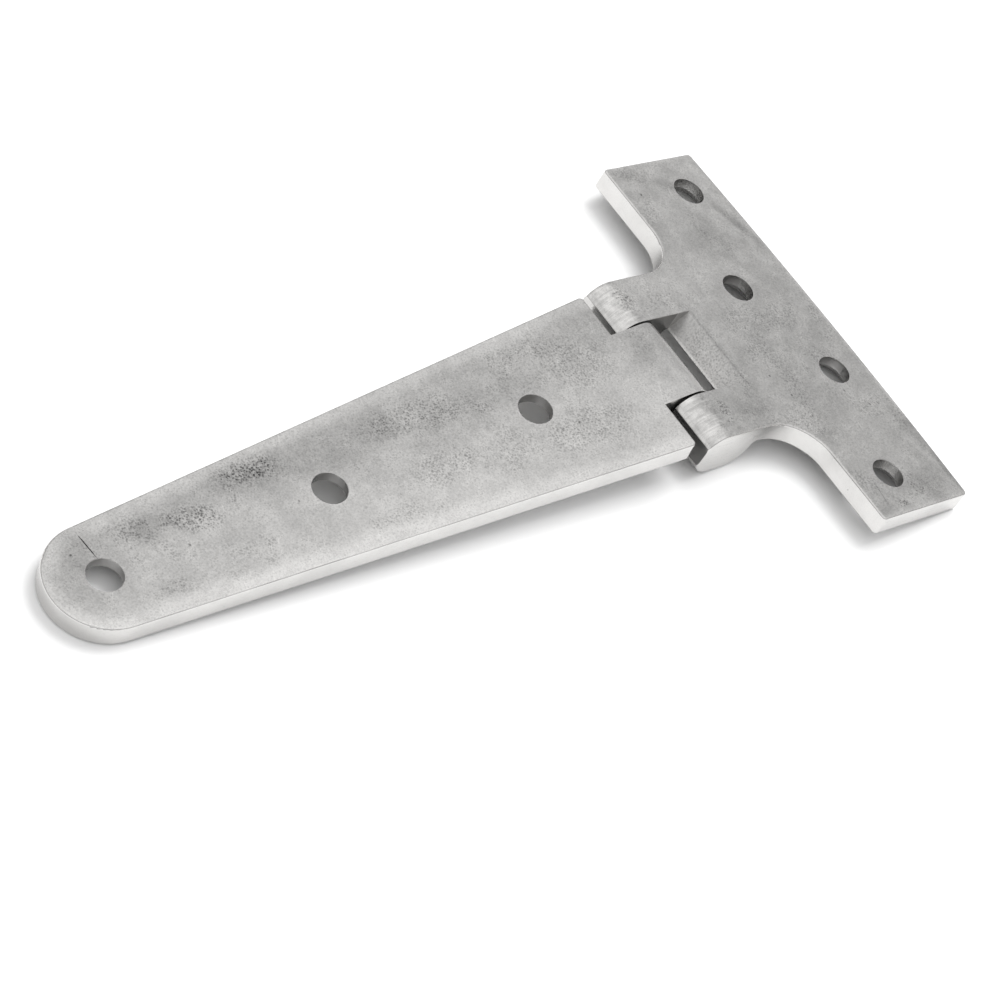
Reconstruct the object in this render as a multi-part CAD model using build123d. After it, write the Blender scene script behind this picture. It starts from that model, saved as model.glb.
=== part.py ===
"""T hinge: a tapered strap leaf and a cross-shaped tee leaf on one pin.

The hinge lies face down, as it is set on a bench: the flat back faces look up, the
knuckles hang below them, and both leaves droop until their outer edges touch the surface.
X runs from the strap's tip to the tee, Y along the pin, Z up from the surface.
Each leaf is first drawn in its own frame, with the pin's centre line at the origin and
the back face flat, and is then tilted about the pin and lifted to its height.
"""
from build123d import *
import os
from math import acos, asin, atan2, cos, degrees, hypot, radians, sin, sqrt

# Plate and knuckles, mm
LEAF_THICKNESS = 5.0
BARREL_RADIUS = 5.75           # outside of every knuckle; its top is level with the back faces
HEEL_REACH = 11.15             # from the pin to where a knuckle's heel runs out on the front face
KNUCKLE_FILLET = 1.0           # hollow where the heel meets the front face
EAR_NOSE_FLAT = 5.2            # from the pin to the flat ground on each ear's nose
PIN_RADIUS = 2.75
PIN_CLEARANCE = 0.05           # radial, in the strap's knuckle, which turns on the pin
REST_LIFT = 0.7                # gap under the barrels, the hinge being stiff

# Strap leaf, mm
TIP_RADIUS = 12.1
STRAP_END_HALF_WIDTH = 20.8    # at the knuckle end
STRAP_FIRST_HOLE = 35.6        # from the pin
STRAP_HOLE_PITCH = 51.7
STRAP_HOLE_COUNT = 3
STRAP_KNUCKLE_HALF_WIDTH = 9.7

# Tee leaf, mm
TEE_HALF_LENGTH = 50.9         # along the pin's direction
TEE_WIDTH = 29.2               # of the cross plate, at its middle
TEE_BOW = 1.1                  # how far the outer edge swells at its middle
TEE_INNER_EDGE = 22.4          # from the pin
EAR_OUTER_HALF_WIDTH = 22.0
SHOULDER_FILLET = 10.6
TEE_OUTER_ROW = 41.4           # from the pin
TEE_INNER_ROW = 33.1
TEE_FAR_HOLES = 40.7           # from the tee's centre line
TEE_NEAR_HOLES = 13.0
SLOPE_RUN = 3.5                # lean of the slot's end wall, away from the pin at the back face

# Screw holes, mm
HOLE_RADIUS = 3.75
HOLE_LAND = 2.4                # straight part below the back face
COUNTERSINK_RADIUS = 6.35

# Clearances and edges, mm
END_GAP = 2.0                  # from an ear's barrel to the strap's end
SIDE_GAP = 0.5                 # from the strap's knuckle to each ear
SLOT_GAP = 5.6                 # from the strap's barrel to the foot of the slot's end wall
CORNER_RADIUS = 1.0            # plates' upright corners
EDGE_RADIUS = 0.5              # long edges of plates and knuckles

BACK = BARREL_RADIUS                      # height of the back face over the pin's centre
FRONT = BACK - LEAF_THICKNESS             # height of the front face over the pin's centre
HOLLOW_REACH = BARREL_RADIUS + KNUCKLE_FILLET
HOLLOW_HEIGHT = FRONT - KNUCKLE_FILLET
KNUCKLE_HEEL = HEEL_REACH - sqrt(HOLLOW_REACH**2 - HOLLOW_HEIGHT**2)  # the heel is as deep as the barrel
REST_HEIGHT = BARREL_RADIUS + REST_LIFT   # height of the pin's centre over the surface
STRAP_END = BARREL_RADIUS + END_GAP
SLOT_HALF_WIDTH = STRAP_KNUCKLE_HALF_WIDTH + SIDE_GAP
SLOT_END = BARREL_RADIUS + SLOT_GAP
TEE_OUTER_EDGE = TEE_INNER_EDGE + TEE_WIDTH
TIP_HOLE = STRAP_FIRST_HOLE + STRAP_HOLE_PITCH * (STRAP_HOLE_COUNT - 1)
STRAP_REACH = TIP_HOLE + TIP_RADIUS
TEE_HOLES = (
    (TEE_OUTER_ROW, TEE_FAR_HOLES),
    (TEE_INNER_ROW, TEE_NEAR_HOLES),
    (TEE_OUTER_ROW, -TEE_NEAR_HOLES),
    (TEE_INNER_ROW, -TEE_FAR_HOLES),
)


def droop(reach):
    """Tilt, in degrees, that lays the rounded edge at a leaf's far end on the surface."""
    along = reach - EDGE_RADIUS
    above = FRONT + EDGE_RADIUS
    return degrees(asin((REST_HEIGHT - EDGE_RADIUS) / hypot(along, above)) + atan2(above, along))


STRAP_TILT = droop(STRAP_REACH)
TEE_TILT = droop(TEE_OUTER_EDGE)


def along_pin(radius, length):
    """Cylinder on the pin's centre line."""
    return Rot(90, 0, 0) * Cylinder(radius, length)


def knuckle(half_width, side):
    """Barrel and the heel that runs on from it under the leaf, on one side of the pin."""
    share = BARREL_RADIUS / HOLLOW_REACH
    meet = (side * (KNUCKLE_HEEL + (HEEL_REACH - KNUCKLE_HEEL) * share), HOLLOW_HEIGHT * share)
    corner = (side * HEEL_REACH, FRONT)
    top_end = (side * HEEL_REACH, BACK)
    bottom = (0, -BARREL_RADIUS)
    heel = (side * KNUCKLE_HEEL, -BARREL_RADIUS)
    slant = BARREL_RADIUS * cos(radians(45))
    bend = KNUCKLE_FILLET * cos(radians(45))
    outline = [
        Line((0, BACK), top_end),
        Line(top_end, corner),
        ThreePointArc(corner, (side * (HEEL_REACH - bend), HOLLOW_HEIGHT + bend), meet),
        ThreePointArc(meet, (side * (KNUCKLE_HEEL + slant), -slant), heel),
        Line(heel, bottom),
        ThreePointArc(bottom, (-side * BARREL_RADIUS, 0), (0, BACK)),
    ]
    return extrude(Plane.XZ * make_face(outline), half_width, both=True)


def screw_hole(x, y):
    """Straight hole from the back face, opening into a right-angled countersink in front."""
    cone_depth = LEAF_THICKNESS - HOLE_LAND
    straight = Pos(x, y, FRONT + LEAF_THICKNESS / 2) * Cylinder(HOLE_RADIUS, 2 * LEAF_THICKNESS)
    cone = Pos(x, y, FRONT + cone_depth / 2) * Cone(COUNTERSINK_RADIUS, HOLE_RADIUS, cone_depth)
    return straight + cone


def plate(outline):
    """Outline raised to the leaf's thickness, front face down."""
    return extrude(Plane.XY.offset(FRONT) * make_face(outline), LEAF_THICKNESS)


def long_edges(leaf):
    """Edges round the plate's two faces and round the ends of the knuckle."""
    rims = leaf.edges().filter_by_position(Axis.Z, BACK - 0.01, BACK + 0.01)
    rims += leaf.edges().filter_by_position(Axis.Z, FRONT - 0.01, FRONT + 0.01)
    return [edge for edge in rims if abs(edge.center().Y) > SLOT_HALF_WIDTH or edge.center().X > BACK]


def strap_leaf():
    """Tapered strap with a round tip, three holes and the middle knuckle."""
    run = TIP_HOLE - STRAP_END
    side = atan2(STRAP_END_HALF_WIDTH, run)
    touch = side + acos(TIP_RADIUS / hypot(run, STRAP_END_HALF_WIDTH))
    tangent_x = TIP_RADIUS * cos(touch) - TIP_HOLE
    tangent_y = TIP_RADIUS * sin(touch)
    far_end = (-STRAP_END, STRAP_END_HALF_WIDTH)
    near_end = (-STRAP_END, -STRAP_END_HALF_WIDTH)
    outline = [
        Line(far_end, (tangent_x, tangent_y)),
        ThreePointArc((tangent_x, tangent_y), (-STRAP_REACH, 0), (tangent_x, -tangent_y)),
        Line((tangent_x, -tangent_y), near_end),
        Line(near_end, far_end),
    ]
    leaf = plate(outline)
    end_corners = leaf.edges().filter_by(Axis.Z).sort_by(Axis.X)[-2:]
    leaf = fillet(end_corners, CORNER_RADIUS)
    rims = leaf.faces().sort_by(Axis.Z)
    leaf = fillet(rims[0].edges() + rims[-1].edges(), EDGE_RADIUS)
    middle = knuckle(STRAP_KNUCKLE_HALF_WIDTH, -1)
    leaf += middle
    leaf -= along_pin(PIN_RADIUS + PIN_CLEARANCE, 3 * STRAP_KNUCKLE_HALF_WIDTH)
    for index in range(STRAP_HOLE_COUNT):
        leaf -= screw_hole(-STRAP_FIRST_HOLE - index * STRAP_HOLE_PITCH, 0)
    return leaf


def tee_leaf():
    """Cross plate on a short neck, four staggered holes and two ears round the slot."""
    corner_x = TEE_OUTER_EDGE - TEE_BOW
    far_outer = (corner_x, TEE_HALF_LENGTH)
    near_outer = (corner_x, -TEE_HALF_LENGTH)
    rim = [
        (TEE_INNER_EDGE, -TEE_HALF_LENGTH),
        (TEE_INNER_EDGE, -EAR_OUTER_HALF_WIDTH),
        (0, -EAR_OUTER_HALF_WIDTH),
        (0, EAR_OUTER_HALF_WIDTH),
        (TEE_INNER_EDGE, EAR_OUTER_HALF_WIDTH),
        (TEE_INNER_EDGE, TEE_HALF_LENGTH),
    ]
    outline = [Line(near_outer, rim[0])]
    outline += [Line(start, end) for start, end in zip(rim, rim[1:])]
    outline.append(Line(rim[-1], far_outer))
    outline.append(ThreePointArc(far_outer, (TEE_OUTER_EDGE, 0), near_outer))
    leaf = plate(outline)
    uprights = leaf.edges().filter_by(Axis.Z)
    shoulders = uprights.filter_by_position(Axis.X, TEE_INNER_EDGE - 0.1, TEE_INNER_EDGE + 0.1)
    leaf = fillet(shoulders.sort_by(lambda edge: abs(edge.center().Y))[:2], SHOULDER_FILLET)
    uprights = leaf.edges().filter_by(Axis.Z)
    corners = uprights.sort_by(lambda edge: abs(edge.center().Y))[-4:]
    leaf = fillet(corners, CORNER_RADIUS)
    leaf += knuckle(EAR_OUTER_HALF_WIDTH, 1)
    leaf = fillet(long_edges(leaf), EDGE_RADIUS)
    leaf -= slot()
    leaf -= ground_nose()
    leaf -= along_pin(PIN_RADIUS, 3 * EAR_OUTER_HALF_WIDTH)
    for x, y in TEE_HOLES:
        leaf -= screw_hole(x, y)
    return leaf


def slot():
    """Opening between the ears, its end wall leaning away towards the back face."""
    beyond = 2 * BARREL_RADIUS
    under = KNUCKLE_HEEL + beyond
    outline = [
        (-beyond, -beyond),
        (under, -beyond),
        (under, FRONT),
        (SLOT_END, FRONT),
        (SLOT_END + SLOPE_RUN, BACK),
        (SLOT_END + SLOPE_RUN, beyond),
        (-beyond, beyond),
    ]
    section = Plane.XZ * make_face(Polyline(outline, close=True))
    return extrude(section, SLOT_HALF_WIDTH, both=True)


def ground_nose():
    """Block that leaves the flat on the ears' noses."""
    depth = BARREL_RADIUS
    return Pos(-EAR_NOSE_FLAT - depth / 2, 0, 0) * Box(depth, 3 * EAR_OUTER_HALF_WIDTH, 2 * BARREL_RADIUS)


def hinge_pin():
    """Plain pin, ground level with the ears."""
    return along_pin(PIN_RADIUS, 2 * EAR_OUTER_HALF_WIDTH)


def placed(leaf, tilt):
    """Leaf tilted about the pin and lifted to the pin's height above the surface."""
    return Pos(0, 0, REST_HEIGHT) * Rot(0, tilt, 0) * leaf


def hinge():
    """Every piece by name, with the middle of the hinge's footprint at the origin."""
    pieces = {
        "strap_leaf": placed(strap_leaf(), -STRAP_TILT),
        "tee_leaf": placed(tee_leaf(), TEE_TILT),
        "hinge_pin": placed(hinge_pin(), TEE_TILT),
    }
    boxes = [piece.bounding_box() for piece in pieces.values()]
    ends = min(box.min.X for box in boxes) + max(box.max.X for box in boxes)
    to_origin = Pos(-ends / 2, 0, 0)
    return {name: to_origin * piece for name, piece in pieces.items()}


def main():
    os.makedirs("parts", exist_ok=True)
    for name, piece in hinge().items():
        export_step(piece, f"parts/{name}.step")


main()
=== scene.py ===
"""T hinge of stainless steel, lying face down on a pale studio floor.

Lengths inside the finishes are millimetres in each leaf's own frame: x from the pin towards
the tee, y along the pin, z from the pin's centre line up to the flat back face.
"""

from math import cos, radians, sin

import bmesh
import bpy
from mathutils import Matrix, Vector


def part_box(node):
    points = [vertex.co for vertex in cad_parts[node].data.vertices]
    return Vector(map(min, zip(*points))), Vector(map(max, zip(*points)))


MM = 0.001

# Leaves, mm and degrees
BACK_FACE = 5.75
FRONT_FACE = 0.75
STRAP_TILT = -2.74
TEE_TILT = 8.086
STRAP_HOLES = (-35.6, -87.3, -139.0)
TEE_HOLES = ((41.4, 40.7), (33.1, 13.0), (41.4, -13.0), (33.1, -40.7))
COUNTERSINK_RADIUS = 6.35
TIP_RADIUS = 12.1           # round end of the strap
SIDE_SLOPE = 3.78           # slant of the strap's long sides
STRAP_END = -7.75           # the strap's straight end, beside its knuckle
KNUCKLE_HALF_WIDTH = 9.7
TEE_HALF_LENGTH = 50.9
TEE_OUTER_EDGE = 51.4       # mean, the edge being bowed
SLOT_HALF_WIDTH = 10.2
SLOT_FOOT = 11.35           # the slot's leaning end wall, at the front face
SLOT_TOP = 14.85            # the same, at the back face
EAR_HALF_WIDTH = 22.0
EAR_NOSE = -5.2             # flat ground on each ear's nose

# Finish
DARK_STEEL = (0.02, 0.02, 0.02)
LIGHT_STEEL = (0.80, 0.79, 0.775)
STRAP_BRIGHT = 0.84         # tones, from dark steel at 0 to light steel at 1
TEE_BRIGHT = 0.77
GROUND_TONE = 0.56
# Painted shade: the countersinks and bores are painted darker, most of the way to this tone
BORE_PAINTED_SHADE_TONE = 0.55
BORE_PAINTED_SHADE_SHARE = 0.8
# Painted shade: dark tone for the walls in the gaps, the slot's sides, the ears' noses and the
# knuckle's ends
PAINTED_SHADE_TONE = 0.28
DEPTH = 0.03                # mm of relief for a height of 1
VERY_DEEP = 1e6             # mm, for a pattern that runs straight down through a leaf

# Studio
FLOOR_HALF_SIDE = 4.0       # metres
FLOOR_GRAIN = 0.06

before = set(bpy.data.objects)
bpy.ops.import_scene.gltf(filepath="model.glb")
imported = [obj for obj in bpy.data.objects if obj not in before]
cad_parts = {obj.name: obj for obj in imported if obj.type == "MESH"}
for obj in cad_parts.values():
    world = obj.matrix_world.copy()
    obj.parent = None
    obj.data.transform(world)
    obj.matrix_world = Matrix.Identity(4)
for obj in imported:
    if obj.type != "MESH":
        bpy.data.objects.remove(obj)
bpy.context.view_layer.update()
pin_low, pin_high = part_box("hinge_pin")
PIN = (pin_low + pin_high) / 2


class Finish:
    """One material, with a short call for each kind of node that it uses."""

    def __init__(self, name):
        self.material = bpy.data.materials.new(name)
        self.material.use_nodes = True
        self.tree = self.material.node_tree
        self.tree.nodes.clear()
        self.surface = self.tree.nodes.new("ShaderNodeBsdfPrincipled")
        output = self.tree.nodes.new("ShaderNodeOutputMaterial")
        self.tree.links.new(self.surface.outputs["BSDF"], output.inputs["Surface"])

    def set(self, socket, value):
        if isinstance(value, bpy.types.NodeSocket):
            self.tree.links.new(value, socket)
        else:
            socket.default_value = value

    def math(self, operation, first, second=0.0, third=0.0, clamp=False):
        node = self.tree.nodes.new("ShaderNodeMath")
        node.operation = operation
        node.use_clamp = clamp
        for socket, value in zip(node.inputs, (first, second, third)):
            self.set(socket, value)
        return node.outputs[0]

    def add(self, *values):
        total = values[0]
        for value in values[1:]:
            total = self.math("ADD", total, value)
        return total

    def times(self, *values):
        product = values[0]
        for value in values[1:]:
            product = self.math("MULTIPLY", product, value)
        return product

    def most(self, *values):
        top = values[0]
        for value in values[1:]:
            top = self.math("MAXIMUM", top, value)
        return top

    def spread(self, value, low, high, start=0.0, end=1.0):
        """Ease from start to end while value goes from low to high, and hold beyond them."""
        node = self.tree.nodes.new("ShaderNodeMapRange")
        node.interpolation_type = "SMOOTHSTEP"
        if low > high:
            low, high, start, end = high, low, end, start
        for name, number in (("From Min", low), ("From Max", high), ("To Min", start), ("To Max", end)):
            node.inputs[name].default_value = number
        self.set(node.inputs["Value"], value)
        return node.outputs["Result"]

    def blend(self, share, first, second):
        """first at a share of 0, second at a share of 1."""
        node = self.tree.nodes.new("ShaderNodeMix")
        self.set(node.inputs["Factor"], share)
        self.set(node.inputs["A"], first)
        self.set(node.inputs["B"], second)
        return node.outputs["Result"]

    def tint(self, share, dark, light):
        node = self.tree.nodes.new("ShaderNodeMix")
        node.data_type = "RGBA"
        self.set(node.inputs["Factor"], share)
        self.set(node.inputs["A"], (*dark, 1.0))
        self.set(node.inputs["B"], (*light, 1.0))
        return node.outputs["Result"]

    def placed(self, coordinates, kind, location=(0, 0, 0), turn=(0, 0, 0), scale=(1, 1, 1)):
        node = self.tree.nodes.new("ShaderNodeMapping")
        node.vector_type = kind
        self.set(node.inputs["Vector"], coordinates)
        node.inputs["Location"].default_value = location
        node.inputs["Rotation"].default_value = [radians(angle) for angle in turn]
        node.inputs["Scale"].default_value = scale
        return node.outputs["Vector"]

    def own_frame(self, tilt):
        """Object coordinates as millimetres in a leaf's own frame."""
        node = self.tree.nodes.new("ShaderNodeTexCoord")
        return self.placed(node.outputs["Object"], "TEXTURE", PIN, (0, tilt, 0), (MM, MM, MM))

    def parts_of(self, coordinates):
        node = self.tree.nodes.new("ShaderNodeSeparateXYZ")
        self.set(node.inputs["Vector"], coordinates)
        return node.outputs["X"], node.outputs["Y"], node.outputs["Z"]

    def noise(self, coordinates, size, detail=2.0, rough=0.5, swirl=0.0):
        """Noise whose features are about size mm across."""
        node = self.tree.nodes.new("ShaderNodeTexNoise")
        self.set(node.inputs["Vector"], coordinates)
        node.inputs["Scale"].default_value = 1 / size
        node.inputs["Detail"].default_value = detail
        node.inputs["Roughness"].default_value = rough
        node.inputs["Distortion"].default_value = swirl
        return node.outputs["Fac"]

    def pits(self, coordinates, size):
        """Distance to the middle of the nearest pit, pits being about size mm apart."""
        node = self.tree.nodes.new("ShaderNodeTexVoronoi")
        self.set(node.inputs["Vector"], coordinates)
        node.inputs["Scale"].default_value = 1 / size
        return node.outputs["Distance"]

    def away(self, coordinates, x, y, across_x=1.0, across_y=1.0, turn=0.0):
        """Distance from an upright line at x, y, in shares of the two half widths."""
        scale = (across_x, across_y, VERY_DEEP)
        near = self.placed(coordinates, "TEXTURE", (x, y, 0), (0, 0, turn), scale)
        node = self.tree.nodes.new("ShaderNodeVectorMath")
        node.operation = "LENGTH"
        self.set(node.inputs[0], near)
        return node.outputs["Value"]

    def scratches(self, coordinates, turn, length, width, thin):
        """Fine lines about length mm long and width mm apart, turned by an angle."""
        along = self.placed(coordinates, "TEXTURE", (0, 0, 0), (0, 0, turn), (length, width, 1.0))
        wave = self.noise(along, 1.0, 3.0, 0.6)
        return self.spread(self.math("ABSOLUTE", self.add(wave, -0.5)), thin, 0.0)

    def dents(self, height, depth):
        """Bump from a height of 0 to 1, depth mm deep."""
        node = self.tree.nodes.new("ShaderNodeBump")
        node.inputs["Strength"].default_value = 1.0
        node.inputs["Distance"].default_value = depth * MM
        self.set(node.inputs["Height"], height)
        return node.outputs["Normal"]


def polished(steel, leaf, bright):
    """Tone, roughness and height of a polished wall: soft unevenness, fine lines, a few specks."""
    clouds = steel.noise(leaf, 9.0, 3.0, 0.55)
    lines = steel.scratches(leaf, 0.0, 14.0, 0.35, 0.03)
    specks = steel.spread(steel.pits(leaf, 4.0), 0.05, 0.02)
    tone = steel.add(
        steel.spread(clouds, 0.3, 0.7, bright - 0.04, bright + 0.04),
        steel.times(lines, -0.05),
        steel.times(specks, -0.35),
    )
    rough = steel.add(steel.spread(clouds, 0.3, 0.7, 0.10, 0.18), steel.times(lines, 0.10))
    height = steel.add(
        steel.times(steel.add(clouds, -0.5), 2.5),
        steel.times(lines, -0.08),
        steel.times(specks, -0.8),
    )
    return tone, rough, height


def stainless_leaf(name, tilt, holes, patches, smudges, marks, fade, bright, rim, hidden_walls):
    """Dull ground back face with pits and smudges, and polished everywhere else.

    patches are pitted areas and smudges dark cloudy ones: (x, y, half length, half width, turn,
    strength). marks are single scratches, in the same way. fade is the tone added on the far
    side and on the near side, and bright the tone of the polished walls. rim gives the share of
    the worn band near the outline. hidden_walls gives the share ground like the back, the share
    left rougher and painted dark as shade, and the change of tone on lesser faces, which holds
    painted highlights and painted shade lines as well as brushed streaks.
    """
    steel = Finish(name)
    leaf = steel.own_frame(tilt)
    x, y, z = steel.parts_of(leaf)
    flat = steel.spread(z, BACK_FACE - 0.2, BACK_FACE - 0.02)
    # The hidden walls give a ground share, a share that is rougher and painted dark as shade, and tone
    # changes that hold painted highlights and painted shade
    also_ground, dull_and_painted_shade, shade = hidden_walls(steel, leaf, x, y, z)
    ground = steel.most(flat, also_ground)
    edge = rim(steel, leaf, x, y)

    warp = steel.noise(leaf, 6.0, 3.0, 0.6)
    clouds = steel.noise(leaf, 24.0, 4.0, 0.6, 1.2)
    mottle = steel.noise(leaf, 5.0, 3.0, 0.6, 0.4)
    grain = steel.noise(leaf, 0.4, 2.0, 0.6)
    speckle = steel.noise(leaf, 0.62, 2.0, 0.6)
    fine_clouds = steel.noise(leaf, 1.8, 2.0, 0.6)

    pitted = steel.spread(steel.noise(leaf, 17.0, 3.0, 0.6, 0.8), 0.54, 0.68, 0.0, 0.4)
    for px, py, half_x, half_y, turn, strength in patches:
        reach = steel.away(leaf, px, py, half_x, half_y, turn)
        ragged = steel.add(reach, steel.times(warp, 0.9), -0.45)
        pitted = steel.most(pitted, steel.spread(ragged, 1.15, 0.35, 0.0, strength))
    dark = steel.spread(clouds, 0.58, 0.72, 0.0, 0.35)
    for px, py, half_x, half_y, turn, strength in smudges:
        reach = steel.away(leaf, px, py, half_x, half_y, turn)
        ragged = steel.add(reach, steel.times(warp, 1.1), -0.55)
        dark = steel.most(dark, steel.spread(ragged, 1.2, 0.2, 0.0, strength))
    pitted = steel.times(pitted, steel.math("SUBTRACT", 1.0, steel.times(edge, 0.8)))

    specks = steel.pits(leaf, 0.5)
    broken = steel.add(specks, steel.times(speckle, 0.7), steel.times(fine_clouds, 0.7), -0.70)
    flecks = steel.times(steel.spread(broken, 0.58, 0.28), pitted)
    faint_flecks = steel.times(
        steel.spread(broken, 0.44, 0.22),
        steel.spread(mottle, 0.35, 0.65, 0.25, 0.65),
    )
    lone_pits = steel.times(
        steel.spread(steel.pits(leaf, 5.5), 0.075, 0.03),
        steel.spread(steel.noise(leaf, 13.0), 0.5, 0.6),
    )
    lines = steel.most(
        steel.scratches(leaf, 63.0, 30.0, 1.6, 0.012),
        steel.scratches(leaf, 12.0, 22.0, 1.1, 0.010),
    )
    lines = steel.times(lines, steel.spread(mottle, 0.46, 0.62))
    scored = 0.0
    for px, py, half_x, half_y, turn, strength in marks:
        reach = steel.away(leaf, px, py, half_x, half_y, turn)
        scored = steel.most(steel.spread(reach, 1.0, 0.4, 0.0, strength), scored)

    # Tone of the ground back: worn rim, smudges, pits and scratches, plus the painted highlights and
    # painted shade carried by shade
    wear_and_painted_light = steel.add(
        steel.spread(y, 13.0, -11.0, *fade),
        steel.spread(clouds, 0.3, 0.7, -0.06, 0.06),
        steel.spread(mottle, 0.32, 0.68, -0.05, 0.05),
        steel.times(
            steel.spread(grain, 0.3, 0.7, -0.06, 0.06),
            steel.add(1.0, steel.times(pitted, 1.4)),
        ),
        steel.times(edge, 0.12),
        shade,
        steel.times(lines, 0.10),
        steel.times(dark, -0.28),
        steel.times(flecks, -0.25),
        steel.times(faint_flecks, -0.20),
        steel.times(lone_pits, -0.35),
        steel.times(scored, -0.50),
    )
    ground_tone = steel.math("ADD", wear_and_painted_light, GROUND_TONE, clamp=True)

    # Painted shade: the walls of the countersinks and bores are painted darker; their added roughness
    # is real
    bore = None
    for hole in holes:
        reach = steel.away(leaf, *hole)
        near = steel.spread(reach, COUNTERSINK_RADIUS + 0.25, COUNTERSINK_RADIUS - 0.15)
        bore = near if bore is None else steel.most(bore, near)
    below = steel.spread(z, BACK_FACE - 0.05, BACK_FACE - 0.35)
    above_front = steel.spread(z, FRONT_FACE + 0.05, FRONT_FACE + 0.2)
    bore = steel.times(bore, below, above_front)

    polished_tone, polished_rough, polished_height = polished(steel, leaf, bright)
    polished_tone = steel.blend(steel.times(bore, BORE_PAINTED_SHADE_SHARE), polished_tone, BORE_PAINTED_SHADE_TONE)
    # Painted shade: the walls in the gaps take a dark painted tone; their raised roughness is real
    polished_tone = steel.blend(dull_and_painted_shade, steel.add(polished_tone, shade), PAINTED_SHADE_TONE)
    tone = steel.blend(ground, polished_tone, ground_tone)
    steel.set(steel.surface.inputs["Base Color"], steel.tint(tone, DARK_STEEL, LIGHT_STEEL))
    ground_rough = steel.add(
        steel.spread(mottle, 0.3, 0.7, 0.36, 0.46),
        steel.times(pitted, 0.12),
        steel.times(edge, -0.12),
    )
    polished_rough = steel.add(polished_rough, steel.times(bore, 0.15), steel.times(dull_and_painted_shade, 0.25))
    steel.set(steel.surface.inputs["Roughness"], steel.blend(ground, polished_rough, ground_rough))
    steel.surface.inputs["Metallic"].default_value = 1.0

    ground_height = steel.add(
        steel.times(steel.add(grain, -0.5), 0.25),
        steel.times(flecks, -0.8),
        steel.times(faint_flecks, -0.5),
        steel.times(lone_pits, -1.0),
        steel.times(lines, -0.3),
        steel.times(scored, -1.5),
        steel.times(steel.add(mottle, -0.5), 1.2),
    )
    height = steel.blend(ground, polished_height, ground_height)
    steel.set(steel.surface.inputs["Normal"], steel.dents(height, DEPTH))
    return steel.material


def strap_rim(steel, leaf, x, y):
    """Smoother, paler band just inside the strap's outline."""
    from_tip = steel.add(x, -STRAP_HOLES[-1])
    level = steel.times(from_tip, -sin(radians(SIDE_SLOPE)))
    slanted = steel.add(level, steel.times(steel.math("ABSOLUTE", y), cos(radians(SIDE_SLOPE))))
    round_tip = steel.away(leaf, STRAP_HOLES[-1], 0.0)
    reach = steel.blend(steel.spread(from_tip, -1.0, 1.0), round_tip, slanted)
    inside = steel.math("SUBTRACT", TIP_RADIUS, reach)
    uneven = steel.add(inside, steel.times(steel.noise(leaf, 18.0, 2.0), -3.0), 1.5)
    return steel.spread(uneven, 4.6, 1.2)


def tee_rim(steel, leaf, x, y):
    """Narrow paler band along the tee's long outer edge and ends."""
    end = steel.math("SUBTRACT", TEE_HALF_LENGTH, steel.math("ABSOLUTE", y))
    outer = steel.math("SUBTRACT", TEE_OUTER_EDGE, x)
    inside = steel.math("MINIMUM", end, outer)
    uneven = steel.add(inside, steel.times(steel.noise(leaf, 12.0, 2.0), -2.0), 1.0)
    return steel.spread(uneven, 1.6, 0.3)


def strap_walls(steel, leaf, x, y, z):
    """The knuckle's rolled top dulls towards the back face; its ends and the strap's end are painted
    dark as shade; its rolled edge gets a painted highlight.
    """
    across = steel.math("ABSOLUTE", y)
    on_knuckle = steel.spread(across, KNUCKLE_HALF_WIDTH, KNUCKLE_HALF_WIDTH - 0.2)
    rolled = steel.times(
        steel.spread(x, 5.0, 0.5, 0.25, 0.95),
        steel.spread(x, -0.5, 0.0),
        on_knuckle,
    )
    # Painted shade: the knuckle's ends and the strap's end are painted dark
    ends = steel.times(
        steel.spread(across, KNUCKLE_HALF_WIDTH - 0.1, KNUCKLE_HALF_WIDTH - 0.02),
        steel.spread(x, STRAP_END - 0.15, STRAP_END + 0.15),
        steel.spread(z, BACK_FACE - 0.35, BACK_FACE - 0.65),
    )
    # Painted highlight along the knuckle's rolled edge
    rolled_edge = steel.times(steel.spread(x, 2.9, 3.9), steel.spread(z, 0.6, 1.2), on_knuckle)
    return rolled, ends, steel.times(rolled_edge, 0.30)


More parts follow.
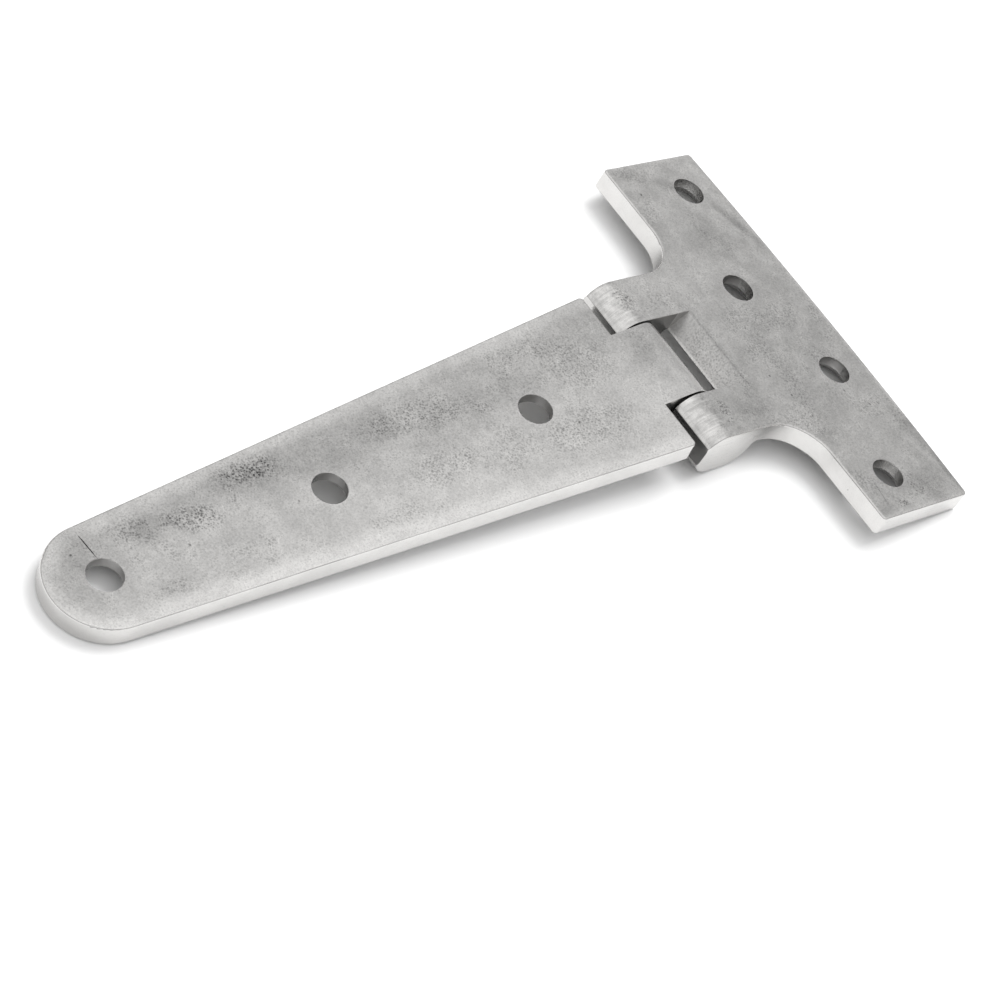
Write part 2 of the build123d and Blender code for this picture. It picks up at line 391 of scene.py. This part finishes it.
def tee_walls(steel, leaf, x, y, z):
    """The slot's leaning end wall is ground, its sides and the ears' noses are rougher and painted dark
    as shade.

    The ears' rolled tops are ground towards the back face and brushed along their curve. The leaning
    wall is painted a little lighter, with a painted highlight along its foot and a painted shade line
    along its top, and each ear's nose ridge has a painted highlight.
    """
    across = steel.math("ABSOLUTE", y)
    inside = steel.spread(across, SLOT_HALF_WIDTH + 0.05, SLOT_HALF_WIDTH - 0.05)
    past_foot = steel.spread(x, SLOT_FOOT - 0.1, SLOT_FOOT)
    leaning = steel.times(inside, past_foot, steel.spread(x, SLOT_TOP + 0.1, SLOT_TOP))
    foot_line = steel.times(inside, steel.spread(x, SLOT_FOOT + 0.45, SLOT_FOOT + 0.1), past_foot)
    top_line = steel.times(
        inside,
        steel.spread(x, SLOT_TOP - 0.35, SLOT_TOP - 0.05),
        steel.spread(x, SLOT_TOP + 0.3, SLOT_TOP + 0.05),
    )
    # Painted shade: the slot's sides are painted dark
    sides = steel.times(
        steel.spread(across, SLOT_HALF_WIDTH + 0.04, SLOT_HALF_WIDTH + 0.02),
        steel.spread(z, BACK_FACE - 0.05, BACK_FACE - 0.3),
        steel.spread(x, SLOT_TOP + 2.0, SLOT_TOP + 1.0),
    )

    on_ears = steel.spread(across, EAR_HALF_WIDTH - 0.1, EAR_HALF_WIDTH - 0.3)
    rolled_top = steel.spread(z, 2.2, 2.6)
    rolled = steel.times(
        steel.spread(x, -4.9, 0.4, 0.15, 0.95),
        steel.spread(x, 0.6, 0.2),
        on_ears,
        rolled_top,
        steel.spread(across, SLOT_HALF_WIDTH, SLOT_HALF_WIDTH + 0.1),
    )
    # Painted shade: the ears' noses are painted dark
    noses = steel.times(
        steel.spread(x, EAR_NOSE + 0.08, EAR_NOSE + 0.03),
        steel.spread(y, 19.5, 18.0),
    )
    # Painted highlight along the ridge of each ear's nose
    ridge = steel.times(
        steel.spread(x, EAR_NOSE + 0.6, EAR_NOSE + 0.2),
        steel.spread(x, EAR_NOSE, EAR_NOSE + 0.08),
        rolled_top,
    )
    streaks = steel.noise(steel.placed(leaf, "TEXTURE", scale=(7.0, 0.5, 7.0)), 1.0, 3.0, 0.6)
    blotches = steel.noise(leaf, 2.2, 3.0, 0.65)
    brushed = steel.times(
        steel.spread(x, 2.5, -0.5),
        on_ears,
        rolled_top,
        steel.add(
            steel.spread(streaks, 0.3, 0.7, -0.09, 0.09),
            steel.spread(blotches, 0.35, 0.65, -0.09, 0.07),
        ),
    )
    # Painted light: the leaning end wall is painted a little lighter, its foot gets a painted highlight
    # line, its top edge a painted shade line, and each ear's nose ridge a painted highlight; brushed
    # adds the real streaks
    shade = steel.add(
        brushed,
        steel.times(leaning, 0.05),
        steel.times(foot_line, 0.25),
        steel.times(top_line, -0.14),
        steel.times(ridge, 0.22),
    )
    return steel.most(leaning, rolled), steel.most(sides, noses), shade


def stainless_pin(name):
    """Polished like the tee's walls, because its ends are finished together with them."""
    steel = Finish(name)
    tone, rough, height = polished(steel, steel.own_frame(TEE_TILT), TEE_BRIGHT)
    steel.set(steel.surface.inputs["Base Color"], steel.tint(tone, DARK_STEEL, LIGHT_STEEL))
    steel.set(steel.surface.inputs["Roughness"], rough)
    steel.set(steel.surface.inputs["Normal"], steel.dents(height, DEPTH))
    steel.surface.inputs["Metallic"].default_value = 1.0
    return steel.material


def give(node, material):
    """The CAD node in its finish."""
    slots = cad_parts[node].material_slots
    for one in slots:
        one.material = material
    if not slots:
        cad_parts[node].data.materials.append(material)


strap_steel = stainless_leaf(
    "strap_stainless",
    STRAP_TILT,
    [(x, 0.0) for x in STRAP_HOLES],
    patches=[
        (-101.0, 10.5, 8.5, 4.0, -8.0, 1.0),
        (-116.0, 4.5, 7.5, 3.6, -10.0, 0.9),
        (-60.0, 8.0, 16.0, 4.5, -4.0, 0.55),
        (-62.0, -4.5, 11.0, 4.5, 0.0, 0.55),
        (-28.0, -8.0, 15.0, 6.0, 0.0, 0.5),
        (-20.0, 6.0, 9.0, 8.0, 0.0, 0.45),
        (-127.0, -8.0, 5.0, 2.5, -15.0, 0.4),
    ],
    smudges=[
        (-100.0, 9.0, 16.0, 5.0, -6.0, 0.35),
        (-126.0, 6.0, 7.0, 3.0, 0.0, 0.4),
        (-78.0, 8.0, 15.0, 6.0, 0.0, 0.30),
        (-50.0, 4.0, 16.0, 6.0, 5.0, 0.25),
        (-3.0, 3.0, 4.5, 8.0, 0.0, 0.25),
        (-128.0, -6.0, 8.0, 4.0, 0.0, 0.25),
        (-142.0, 1.0, 12.0, 12.0, 0.0, 0.35),
    ],
    marks=[(-138.7, 6.9, 0.16, 4.0, 6.0, 1.0)],
    fade=(-0.02, 0.14),
    rim=strap_rim,
    bright=STRAP_BRIGHT,
    hidden_walls=strap_walls,
)
tee_steel = stainless_leaf(
    "tee_stainless",
    TEE_TILT,
    TEE_HOLES,
    patches=[
        (-0.5, 16.5, 3.0, 3.5, 0.0, 1.0),
        (3.4, -15.6, 1.8, 3.6, 0.0, 0.9),
        (30.7, -48.5, 2.2, 1.6, 0.0, 1.0),
        (27.0, 5.0, 8.0, 5.0, 0.0, 0.4),
        (13.0, 0.0, 3.0, 9.0, 0.0, 0.3),
    ],
    smudges=[
        (47.5, 30.0, 1.8, 9.5, 17.0, 0.6),
        (32.0, 46.0, 11.0, 2.2, -28.0, 0.45),
        (50.2, -43.0, 1.6, 7.5, -4.0, 0.55),
        (37.0, 28.0, 8.0, 10.0, 0.0, 0.25),
        (42.0, -46.0, 9.0, 5.0, 0.0, 0.45),
        (40.0, 0.0, 14.0, 20.0, 0.0, 0.25),
        (12.0, -16.0, 8.0, 5.0, 0.0, 0.3),
        (50.0, -33.0, 3.0, 8.0, 10.0, 0.45),
    ],
    marks=[(27.0, -44.0, 6.5, 0.14, 82.0, 0.4)],
    fade=(0.10, 0.05),
    rim=tee_rim,
    bright=TEE_BRIGHT,
    hidden_walls=tee_walls,
)
give("strap_leaf", strap_steel)
give("tee_leaf", tee_steel)
give("hinge_pin", stainless_pin("pin_stainless"))


# Studio
def pale_floor():
    """Wide white sheet under the hinge, faintly uneven in tone."""
    mesh = bpy.data.meshes.new("studio_floor")
    floor = bpy.data.objects.new("studio_floor", mesh)
    bpy.context.scene.collection.objects.link(floor)
    sheet = bmesh.new()
    bmesh.ops.create_grid(sheet, x_segments=1, y_segments=1, size=FLOOR_HALF_SIDE)
    sheet.to_mesh(mesh)
    sheet.free()
    paper = Finish("pale_floor")
    node = paper.tree.nodes.new("ShaderNodeTexCoord")
    tone = paper.noise(node.outputs["Object"], FLOOR_GRAIN, 3.0)
    paper.set(
        paper.surface.inputs["Base Color"],
        paper.tint(paper.spread(tone, 0.3, 0.7), (0.87, 0.87, 0.87), (0.90, 0.90, 0.90)),
    )
    paper.surface.inputs["Roughness"].default_value = 0.7
    paper.surface.inputs["Specular IOR Level"].default_value = 0.2
    mesh.materials.append(paper.material)


def studio_sky():
    """Soft surrounding light, brighter overhead than near the horizon."""
    world = bpy.data.worlds.new("studio")
    bpy.context.scene.world = world
    world.use_nodes = True
    tree = world.node_tree
    tree.nodes.clear()
    where = tree.nodes.new("ShaderNodeTexCoord")
    split = tree.nodes.new("ShaderNodeSeparateXYZ")
    rise = tree.nodes.new("ShaderNodeMapRange")
    rise.interpolation_type = "SMOOTHSTEP"
    for name, number in (("From Min", 0.1), ("From Max", 1.0), ("To Min", 0.55), ("To Max", 1.2)):
        rise.inputs[name].default_value = number
    sky = tree.nodes.new("ShaderNodeBackground")
    sky.inputs["Color"].default_value = (1.0, 1.0, 1.0, 1.0)
    output = tree.nodes.new("ShaderNodeOutputWorld")
    tree.links.new(where.outputs["Generated"], split.inputs["Vector"])
    tree.links.new(split.outputs["Z"], rise.inputs["Value"])
    tree.links.new(rise.outputs["Result"], sky.inputs["Strength"])
    tree.links.new(sky.outputs["Background"], output.inputs["Surface"])


def softbox(name, direction, distance, size, power):
    """Square area light facing the middle of the floor."""
    light = bpy.data.lights.new(name, "AREA")
    light.shape = "SQUARE"
    light.size = size
    light.energy = power
    lamp = bpy.data.objects.new(name, light)
    bpy.context.scene.collection.objects.link(lamp)
    away = Vector(direction).normalized()
    lamp.location = away * distance
    lamp.rotation_euler = away.to_track_quat("Z", "Y").to_euler()
    lamp.visible_glossy = False


def camera():
    """Long lens looking down on the back faces, turned so that the strap runs up to the right."""
    around, above, roll = radians(-58.69), radians(46.16), radians(29.42)
    target = Vector((0.87, -11.11, 0.0)) * MM
    distance = 665.08 * MM
    back = Vector((sin(around) * cos(above), -cos(around) * cos(above), sin(above)))
    level = Vector((cos(around), sin(around), 0.0))
    right = level * cos(roll) + back.cross(level) * sin(roll)
    upward = back.cross(right)
    lens = bpy.data.cameras.new("camera")
    lens.lens = 119.85
    lens.clip_start = 0.01
    lens.clip_end = 50.0
    view = bpy.data.objects.new("camera", lens)
    bpy.context.scene.collection.objects.link(view)
    turn = Matrix((right, upward, back)).transposed().to_4x4()
    view.matrix_world = Matrix.Translation(target + back * distance) @ turn
    bpy.context.scene.camera = view


pale_floor()
studio_sky()
softbox("key_softbox", direction=(0.85, 0.25, 1.5), distance=1.3, size=0.8, power=12.0)
camera()
bpy.context.scene.view_settings.view_transform = "Standard"
